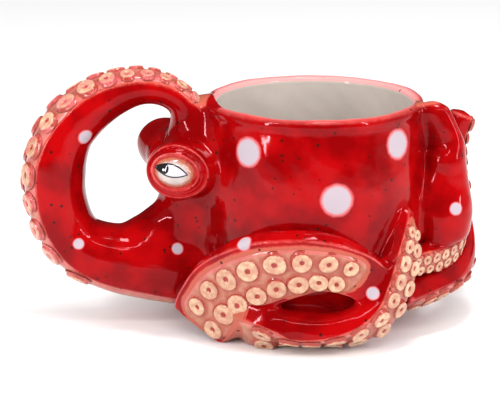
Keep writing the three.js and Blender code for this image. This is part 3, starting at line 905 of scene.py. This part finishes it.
def make_belly(arm, clay):
    """An arm's belly with its suckers, apart from those that are buried in the clay."""
    spots = sucker_spots(arm)
    parts = [(*belly_skin(arm, spots), 0.5)]
    for s, b, radius in spots:
        foot, _, _, up = sucker_frame(arm, s, b)
        hue = RNG.uniform(0, 1)
        sucker = sucker_mesh(arm, s, b, radius)
        if clay.at(np.array([foot + up * PROBE]))[0] >= CLEAR:
            parts.append((*sucker, 0, 0, hue))
    points = np.vstack([part[0] for part in parts])
    points[:, 2] = np.maximum(points[:, 2], LOWEST_SUCKER)
    start, faces = 0, []
    for part in parts:
        faces += (part[1] + start).tolist() + (part[2] + start).tolist()
        start += len(part[0])
    attributes = {"wash": np.full(len(points), arm.wash)}
    for key, column in zip(("ring", "gap", "rim", "hue"), zip(*[part[3:] for part in parts])):
        values = [np.broadcast_to(value, len(part[0])) for value, part in zip(column, parts)]
        attributes[key] = np.concatenate(values)
    name, node = arm.name + "_suckers", arm.node + "_suckers"
    place(name, node, points, faces, PALE_GLAZE, attributes)


# ---- eyes ----


def make_eye(side, name):
    """A flattened eyeball. Its along and up coordinates carry the painted eye."""
    centre, along, up, out = eye_axes(side)
    rings, sides, pole = 40, 72, 0.02
    polar = np.linspace(pole, math.pi - pole, rings)[:, None]
    turn = np.arange(sides) * 2 * math.pi / sides
    u = EYE_LONG * np.sin(polar) * np.cos(turn)
    v = EYE_TALL * np.sin(polar) * np.sin(turn)
    w = EYE_HEIGHT + (EYE_DEEP + 0.3 * np.sin(u * 0.4 + 1)) * np.cos(polar) + 0 * turn
    grid = centre + u[..., None] * along + v[..., None] * up + w[..., None] * out
    points, quads, triangles = closed_skin(grid)
    local = points - centre
    attributes = {"eye_u": local @ along, "eye_v": side * (local @ up)}
    faces = quads.tolist() + triangles.tolist()
    place(name, name, points, faces, EYE_GLAZE, attributes)


# ---- glazes ----


class Nodes:
    """Short calls that add nodes to one material."""

    def __init__(self, name):
        self.material = bpy.data.materials.new(name)
        self.material.use_nodes = True
        self.tree = self.material.node_tree
        self.shader = self.tree.nodes["Principled BSDF"]

    def add(self, kind, **settings):
        node = self.tree.nodes.new(kind)
        for key, value in settings.items():
            setattr(node, key, value)
        return node

    def link(self, value, socket):
        if isinstance(value, bpy.types.NodeSocket):
            self.tree.links.new(value, socket)
        else:
            socket.default_value = value

    def position(self):
        return self.add("ShaderNodeTexCoord").outputs["Object"]

    def attribute(self, name):
        return self.add("ShaderNodeAttribute", attribute_name=name).outputs["Fac"]

    def math(self, operation, a, b=0.0, c=0.0):
        node = self.add("ShaderNodeMath", operation=operation)
        for value, socket in zip((a, b, c), node.inputs):
            self.link(value, socket)
        return node.outputs[0]

    def step(self, value, low, high):
        """0 below low, 1 above high, smooth between; low may be above high."""
        node = self.add("ShaderNodeMapRange", interpolation_type="SMOOTHSTEP")
        self.link(value, node.inputs["Value"])
        ends = (low, high, 0.0, 1.0) if low < high else (high, low, 1.0, 0.0)
        for key, end in zip(("From Min", "From Max", "To Min", "To Max"), ends):
            node.inputs[key].default_value = end
        return node.outputs["Result"]

    def noise(self, size, detail=2.0, offset=0.0, roughness=0.5):
        """Noise whose features are about size mm wide."""
        scale = self.add("ShaderNodeMapping")
        scale.inputs["Scale"].default_value = [1 / (size * MM)] * 3
        scale.inputs["Location"].default_value = [offset] * 3
        self.link(self.position(), scale.inputs["Vector"])
        node = self.add("ShaderNodeTexNoise")
        node.inputs["Scale"].default_value = 1.0
        node.inputs["Detail"].default_value = detail
        node.inputs["Roughness"].default_value = roughness
        self.link(scale.outputs["Vector"], node.inputs["Vector"])
        return node.outputs["Fac"]

    def vary(self, low, high, size, detail=2.0, offset=0.0):
        """Noise from low to high."""
        return self.math("MULTIPLY_ADD", self.noise(size, detail, offset), high - low, low)

    def specks(self, cell, radius, share):
        """Round specks of about a radius, mm, in a share of cells."""
        cells = self.add("ShaderNodeTexVoronoi")
        cells.inputs["Scale"].default_value = 1 / (cell * MM)
        self.link(self.position(), cells.inputs["Vector"])
        split = self.add("ShaderNodeSeparateColor")
        self.link(cells.outputs["Color"], split.inputs["Color"])
        chosen = self.math("LESS_THAN", split.outputs[0], share)
        size = self.math("MULTIPLY_ADD", split.outputs[1], 0.6, 0.5)
        distance = self.math("DIVIDE", cells.outputs["Distance"], size)
        limit = radius / cell
        return self.math("MULTIPLY", self.step(distance, limit, limit * 0.7), chosen)

    def mix(self, factor, a, b):
        node = self.add("ShaderNodeMix", data_type="RGBA")
        self.link(factor, node.inputs["Factor"])
        for value, socket in ((a, node.inputs["A"]), (b, node.inputs["B"])):
            self.link((*value, 1) if isinstance(value, tuple) else value, socket)
        return node.outputs["Result"]

    def tint(self, colour, other, cover, strength=1.0):
        """Lays another colour over a colour, as far as cover goes from 0 to 1."""
        return self.mix(self.math("MULTIPLY", cover, strength), colour, other)

    def bump(self, height, distance, strength=1.0, normal=None):
        node = self.add("ShaderNodeBump")
        node.inputs["Strength"].default_value = strength
        node.inputs["Distance"].default_value = distance * MM
        self.link(height, node.inputs["Height"])
        if normal is not None:
            self.link(normal, node.inputs["Normal"])
        return node.outputs["Normal"]

    def finish(self, colour, roughness, normal):
        self.link(colour, self.shader.inputs["Base Color"])
        self.link(roughness, self.shader.inputs["Roughness"])
        self.link(normal, self.shader.inputs["Normal"])
        self.shader.inputs["IOR"].default_value = 1.47
        return self.material


DEEP_RED = (0.18, 0.0006, 0.0012)
BRIGHT_RED = (0.33, 0.0012, 0.002)
THIN_RED = (0.72, 0.13, 0.12)
# painted shade: the red that folds and creases are darkened to
FOLD_SHADE_RED = (0.12, 0.001, 0.002)
OFF_WHITE = (0.55, 0.48, 0.43)
DOT_WHITE = (0.4, 0.34, 0.38)
PINK = (0.55, 0.11, 0.12)
LIP = (0.52, 0.1, 0.07)
RIM_PINK = (0.68, 0.34, 0.33)
SPECK = (0.03, 0.005, 0.003)
PEACH = (0.34, 0.1, 0.06)
PALE_PEACH = (0.42, 0.185, 0.11)
DISC_PEACH = (0.47, 0.24, 0.15)
CREAM = (0.62, 0.44, 0.28)
# red wash, which also serves as painted shade in the groove at each sucker's foot
RED_WASH_AND_SHADE = (0.3, 0.022, 0.014)
INK = (0.006, 0.005, 0.006)
LINING_GREY = (0.42, 0.38, 0.34)
EYE_SHADE = (0.4, 0.33, 0.31)
EYE_PALE = (0.48, 0.41, 0.39)
EYE_WHITE = (0.5, 0.47, 0.52)
GLINT = (0.9, 0.9, 0.9)
FLOOR_WHITE = (0.88, 0.88, 0.88)
FLOOR_GREY = (0.85, 0.85, 0.85)


def glaze_relief(n):
    """The faint orange-peel of a thick glaze."""
    coarse = n.bump(n.noise(7.0, 1.0), 0.25, 0.5)
    return n.bump(n.noise(1.6, 1.0, offset=3.0), 0.03, 0.5, coarse)


def red_glaze():
    """Red, paler where it thins on edges and with painted shade in folds, with painted dots, specks
    and a white lining.
    """
    n = Nodes("red_glaze")
    colour = n.mix(n.step(n.noise(16.0, 3.0), 0.35, 0.65), DEEP_RED, BRIGHT_RED)
    raised = n.attribute("raised")
    thin = n.math("ADD", raised, n.vary(-0.08, 0.08, 3.0, 3.0, offset=1.0))
    colour = n.tint(colour, THIN_RED, n.step(thin, 0.1, 0.38), 0.75)
    # painted shade: the red darkens where the surface folds inwards
    colour = n.tint(colour, FOLD_SHADE_RED, n.step(raised, -0.05, -0.35))
    border = n.math("ADD", n.attribute("lip"), n.vary(-0.35, 0.35, 1.7, 3.0, offset=6.0))
    colour = n.tint(colour, LIP, n.step(border, 1.25, 0.35), 0.8)
    colour = n.tint(colour, PEACH, n.step(border, 0.35, -0.1), 0.6)
    ragged = n.vary(-0.06, 0.06, 2.2, offset=2.0)
    dot = n.math("ADD", n.attribute("dot"), ragged)
    colour = n.tint(colour, PINK, n.step(dot, 1.12, 0.94))
    colour = n.tint(colour, DOT_WHITE, n.step(dot, 0.98, 0.78))
    lining = n.math("MULTIPLY_ADD", ragged, 5.0, n.attribute("lining"))
    colour = n.tint(colour, THIN_RED, n.step(lining, -6.5, -2.0), 0.8)
    colour = n.tint(colour, RIM_PINK, n.step(lining, -4.5, -0.8), 0.8)
    inside = n.mix(n.noise(20.0, 3.0, offset=4.0), OFF_WHITE, LINING_GREY)
    colour = n.tint(colour, inside, n.step(lining, -0.1, 0.7))
    plain = n.math("MULTIPLY", n.step(lining, 0.2, -0.2), n.step(dot, 0.9, 1.1))
    specks = n.math("MULTIPLY", n.specks(3.4, 0.8, 0.42), plain)
    colour = n.tint(colour, SPECK, specks, 0.85)
    n.shader.inputs["Specular Tint"].default_value = (1, 0.45, 0.5, 1)
    n.shader.inputs["Specular IOR Level"].default_value = 0.3
    return n.finish(colour, n.vary(0.05, 0.11, 9.0, offset=5.0), glaze_relief(n))


def pale_glaze():
    """Peach bellies and cream suckers, with a red wash in the hollows round and in the suckers; the
    dark line at each sucker's foot is wash and painted shade.
    """
    n = Nodes("pale_glaze")
    ring = n.attribute("ring")
    rim = n.attribute("rim")
    belly = n.mix(n.step(n.noise(3.2, 3.0), 0.3, 0.7), PEACH, PALE_PEACH)
    near = n.math("ADD", n.attribute("gap"), n.vary(-0.8, 0.8, 1.8, offset=1.5))
    near = n.math("MULTIPLY", n.step(near, 2.3, 0.6), n.step(rim, 0.95, 0.7))
    belly = n.tint(belly, RED_WASH_AND_SHADE, near, 0.6)
    edge = n.math("ADD", rim, n.vary(-0.08, 0.08, 2.6, offset=2.5))
    belly = n.tint(belly, PINK, n.step(edge, 0.74, 0.95), 0.8)
    disc = n.mix(n.step(n.noise(2.4, 3.0, offset=3.5), 0.35, 0.7), DISC_PEACH, CREAM)
    disc = n.tint(disc, PEACH, n.attribute("hue"), 0.35)
    across = n.math("ADD", ring, n.vary(-0.06, 0.06, 0.9, offset=4.5))
    disc = n.tint(disc, RED_WASH_AND_SHADE, n.step(across, 0.31, 0.2))
    # a dark line along each sucker's foot: red wash together with painted shade of the groove
    disc = n.tint(disc, RED_WASH_AND_SHADE, n.step(across, 0.94, 1.03), 0.95)
    colour = n.tint(belly, disc, n.step(ring, 2.0, 1.9))
    pink = n.step(n.noise(5.0, 4.0, offset=6.5, roughness=0.7), 0.4, 0.62)
    colour = n.tint(colour, PINK, n.math("MULTIPLY", pink, n.attribute("wash")), 0.75)
    colour = n.tint(colour, SPECK, n.specks(5.0, 0.5, 0.2), 0.8)
    return n.finish(colour, n.vary(0.12, 0.24, 4.0, offset=5.5), glaze_relief(n))


def eye_glaze():
    """A painted eye: two arched lines that meet at its ends, with a pupil between them."""
    n = Nodes("eye_glaze")
    u = n.attribute("eye_u")
    v = n.attribute("eye_v")

    def away(middle_u, middle_v, long=1.0, tall=1.0):
        """The distance from a point, mm, or in half sizes of an oval round it."""
        du = n.math("DIVIDE", n.math("SUBTRACT", u, middle_u), long)
        dv = n.math("DIVIDE", n.math("SUBTRACT", v, middle_v), tall)
        return n.math("SQRT", n.math("MULTIPLY_ADD", du, du, n.math("MULTIPLY", dv, dv)))

    def over_line(middle, half, base, rise):
        """How far v is above an arched line."""
        part = n.math("DIVIDE", n.math("SUBTRACT", u, middle), half)
        arch = n.math("SUBTRACT", 1.0, n.math("MULTIPLY", part, part))
        return n.math("SUBTRACT", v, n.math("MULTIPLY_ADD", arch, rise, base))

    reach = n.math("ADD", away(0, 0, EYE_LONG, EYE_TALL), n.vary(-0.12, 0.12, 1.5, 3.0))
    colour = n.mix(n.step(n.noise(4.0, 2.0, offset=1.0), 0.3, 0.7), EYE_SHADE, EYE_PALE)
    colour = n.tint(colour, PEACH, n.step(reach, 0.58, 0.82))
    colour = n.tint(colour, BRIGHT_RED, n.step(reach, 0.84, 0.98))
    upper = over_line(1.4, 6.9, 0.4, 2.9)
    lower = over_line(1.1, 6.6, 0.55, -2.1)
    outside = n.math("MAXIMUM", upper, n.math("MULTIPLY", lower, -1.0))
    within = n.step(outside, 0.05, -0.05)
    colour = n.tint(colour, EYE_WHITE, within)
    pupil = n.math("MULTIPLY", n.step(away(4.7, 0.9), 2.65, 2.5), within)
    to_middle = n.math("ABSOLUTE", n.math("SUBTRACT", u, 0.9))
    line = n.step(n.math("ABSOLUTE", outside), 0.36, 0.22)
    line = n.math("MULTIPLY", line, n.step(to_middle, 7.1, 6.8))
    colour = n.tint(colour, INK, n.math("MAXIMUM", pupil, line))
    colour = n.tint(colour, GLINT, n.step(away(4.1, 0.5), 0.55, 0.38))
    colour = n.tint(colour, SPECK, n.specks(4.0, 0.35, 0.3), 0.8)
    return n.finish(colour, n.vary(0.06, 0.12, 3.0, offset=2.0), glaze_relief(n))


# ---- surroundings ----

LIGHTS_AIM = (-0.02, 0, 0.05)


def make_floor():
    bpy.ops.mesh.primitive_plane_add(size=8.0)
    floor = bpy.context.object
    floor.name = "floor"
    n = Nodes("pale_floor")
    colour = n.mix(n.noise(400.0), FLOOR_WHITE, FLOOR_GREY)
    n.link(colour, n.shader.inputs["Base Color"])
    n.shader.inputs["Roughness"].default_value = 0.6
    n.shader.inputs["Specular IOR Level"].default_value = 0.1
    floor.data.materials.append(n.material)


def softbox(name, location, width, height, power):
    """A rectangular light that faces the mug."""
    data = bpy.data.lights.new(name, "AREA")
    data.shape = "RECTANGLE"
    data.size = width
    data.size_y = height
    data.energy = power
    light = bpy.data.objects.new(name, data)
    light.location = location
    towards = Vector(LIGHTS_AIM) - Vector(location)
    light.rotation_euler = towards.to_track_quat("-Z", "Y").to_euler()
    bpy.context.collection.objects.link(light)


def make_world():
    """A white studio for the camera, soft for matt light and dim in reflections."""
    world = bpy.data.worlds.new("studio")
    bpy.context.scene.world = world
    world.use_nodes = True
    nodes, links = world.node_tree.nodes, world.node_tree.links
    ray = nodes.new("ShaderNodeLightPath")

    def white(strength):
        node = nodes.new("ShaderNodeBackground")
        node.inputs["Color"].default_value = (1, 1, 1, 1)
        node.inputs["Strength"].default_value = strength
        return node.outputs[0]

    def choose(kind, others, chosen):
        """One light for rays of a kind, and another for all others."""
        node = nodes.new("ShaderNodeMixShader")
        for output, socket in zip((ray.outputs[kind], others, chosen), node.inputs):
            links.new(output, socket)
        return node.outputs[0]

    light = choose("Is Glossy Ray", white(0.94), white(0.03))
    light = choose("Is Camera Ray", light, white(1.0))
    links.new(light, nodes["World Output"].inputs[0])


def make_lights():
    softbox("left_wall", (-0.85, -0.05, 0.45), 0.9, 0.9, 0.9)
    softbox("right_wall", (0.85, -0.15, 0.45), 0.9, 0.9, 1.2)
    softbox("left_strip", (-0.6, -0.45, 0.35), 0.03, 0.5, 3.2)
    softbox("right_strip", (0.55, -0.5, 0.4), 0.03, 0.5, 3.2)
    softbox("above", (0.05, -0.1, 0.9), 0.25, 0.12, 3.2)
    softbox("front_bar", (0.0, -0.6, 0.75), 0.7, 0.03, 2.0)


# ---- the scene ----

RED_GLAZE = red_glaze()
PALE_GLAZE = pale_glaze()
EYE_GLAZE = eye_glaze()

make_camera()
make_floor()
make_world()
make_lights()
bpy.context.scene.view_settings.view_transform = "Standard"

clay = make_flesh()
make_cup(clay)
for arm in ARMS:
    make_belly(arm, clay)
make_eye(-1, "near_eyeball")
make_eye(1, "far_eyeball")
